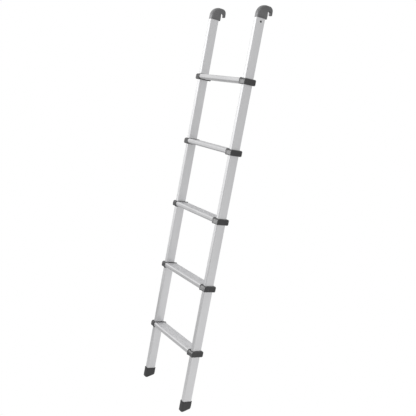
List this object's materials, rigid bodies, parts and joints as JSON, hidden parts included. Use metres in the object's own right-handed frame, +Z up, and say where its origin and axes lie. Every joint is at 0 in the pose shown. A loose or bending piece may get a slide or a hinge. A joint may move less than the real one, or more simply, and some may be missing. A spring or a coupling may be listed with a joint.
{
  "type": "boat boarding ladder",
  "caption": "Light hook-on boarding ladder: two aluminium tube stiles, flat hollow steps in dark moulded collars, dark hooks on top, wedge shoes below.",
  "frame": {"origin": "middle of the rail that the two hooks hang on, half-way between the stiles", "axes": "+X along the rail towards the right-hand stile, +Y behind the ladder, where the hooks open, +Z up along the stiles"},
  "size_m": [0.336, 0.0737, 1.493],
  "materials": {
    "anodised_aluminium": "satin anodised, fine drawn lines along the tube",
    "step_aluminium": "satin, ribbed on top",
    "hook_plastic": "moulded dark grey, fine grain",
    "collar_plastic": "moulded charcoal, fine grain",
    "shoe_rubber": "dull dark grey, moulded",
    "rivet_steel": "blackened, satin",
    "screw_steel": "satin stainless"
  },
  "bodies": {
    "root": {"left_stile": "anodised_aluminium", "right_stile": "anodised_aluminium", "tread_1": "step_aluminium", "tread_2": "step_aluminium", "tread_3": "step_aluminium", "tread_4": "step_aluminium", "tread_5": "step_aluminium", "left_collar_1": "collar_plastic", "left_collar_2": "collar_plastic", "left_collar_3": "collar_plastic", "left_collar_4": "collar_plastic", "left_collar_5": "collar_plastic", "right_collar_1": "collar_plastic", "right_collar_2": "collar_plastic", "right_collar_3": "collar_plastic", "right_collar_4": "collar_plastic", "right_collar_5": "collar_plastic", "left_hook": "hook_plastic", "right_hook": "hook_plastic", "left_foot": "shoe_rubber", "right_foot": "shoe_rubber", "hook_rivets": "rivet_steel", "collar_rivets": "rivet_steel", "tread_screws": "screw_steel"}
  },
  "joints": []
}
